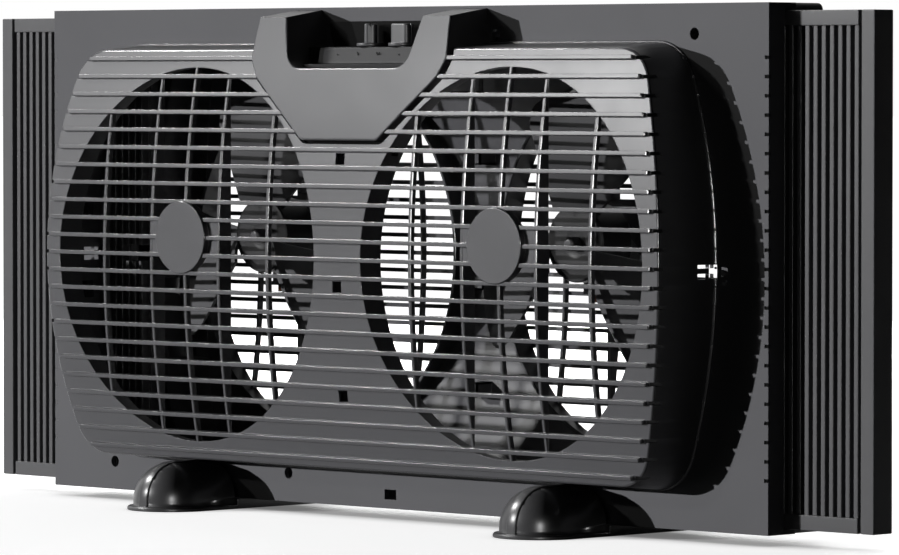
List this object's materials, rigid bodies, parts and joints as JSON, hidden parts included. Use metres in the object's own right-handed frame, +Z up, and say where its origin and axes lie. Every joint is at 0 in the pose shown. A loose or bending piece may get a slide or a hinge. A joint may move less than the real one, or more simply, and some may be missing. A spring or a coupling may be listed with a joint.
{
  "type": "window fan",
  "caption": "Wide reversible window fan: flat frame with sliding side panels, domed bar grilles, bladed fans on motors, dials in a top pocket and low feet.",
  "frame": {"origin": "on the ground, under the middle of the frame", "axes": "+X to the right along the frame, +Y from the front cover to the rear cover, +Z up"},
  "size_m": [0.7434, 0.1686, 0.3085],
  "materials": {
    "frame_plastic": "satin moulded",
    "bezel_plastic": "satin gloss",
    "knob_plastic": "satin",
    "black_plastic": "satin",
    "foot_plastic": "gloss",
    "panel_plastic": "satin",
    "fan_plastic": "satin",
    "soft_rubber": "matt",
    "steel": "plain",
    "lamination": "stacked sheet",
    "copper": "varnished wire",
    "zinc": "cast",
    "bronze": "sintered"
  },
  "bodies": {
    "housing": {"front_frame": "frame_plastic", "rear_frame": "frame_plastic", "front_cover": "frame_plastic", "rear_cover": "frame_plastic", "control_bezel": "bezel_plastic", "control_deck": "bezel_plastic", "speed_switch": "black_plastic", "mode_switch": "black_plastic", "left_foot": "foot_plastic", "right_foot": "foot_plastic", "foot_screws": "steel", "frame_screws": "steel", "left_stator": "lamination", "left_coil": "copper", "left_bobbin": "black_plastic", "left_front_bracket": "zinc", "left_rear_bracket": "zinc", "left_front_bush": "bronze", "left_rear_bush": "bronze", "left_motor_screws": "steel", "right_stator": "lamination", "right_coil": "copper", "right_bobbin": "black_plastic", "right_front_bracket": "zinc", "right_rear_bracket": "zinc", "right_front_bush": "bronze", "right_rear_bush": "bronze", "right_motor_screws": "steel", "cord_inlet": "soft_rubber", "wiring": "soft_rubber"},
    "left_fan": {"left_impeller": "fan_plastic", "left_fan_nut": "black_plastic", "left_shaft": "steel", "left_rotor": "lamination"},
    "right_fan": {"right_impeller": "fan_plastic", "right_fan_nut": "black_plastic", "right_shaft": "steel", "right_rotor": "lamination"},
    "left_panel": {"left_expander": "panel_plastic"},
    "right_panel": {"right_expander": "panel_plastic"},
    "speed_dial": {"speed_knob": "knob_plastic", "speed_spindle": "steel"},
    "mode_dial": {"mode_knob": "knob_plastic", "mode_spindle": "steel"}
  },
  "joints": [
    {"name": "left_fan_spin", "type": "hinge", "parent": "housing", "child": "left_fan", "pos_m": [-0.1345, 0, 0.1684], "axis": [0, 1, 0], "continuous": true},
    {"name": "right_fan_spin", "type": "hinge", "parent": "housing", "child": "right_fan", "pos_m": [0.1345, 0, 0.1684], "axis": [0, 1, 0], "continuous": true},
    {"name": "left_panel_slide", "type": "slide", "parent": "housing", "child": "left_panel", "axis": [-1, 0, 0], "range_m": [-0.013, 0.058]},
    {"name": "right_panel_slide", "type": "slide", "parent": "housing", "child": "right_panel", "axis": [1, 0, 0], "range_m": [-0.013, 0.058]},
    {"name": "speed_dial_turn", "type": "hinge", "parent": "housing", "child": "speed_dial", "pos_m": [-0.007, -0.0325, 0.29], "axis": [0, 0, 1], "range_deg": [-45, 45]},
    {"name": "mode_dial_turn", "type": "hinge", "parent": "housing", "child": "mode_dial", "pos_m": [0.02, -0.0325, 0.29], "axis": [0, 0, 1], "range_deg": [-45, 45]}
  ]
}
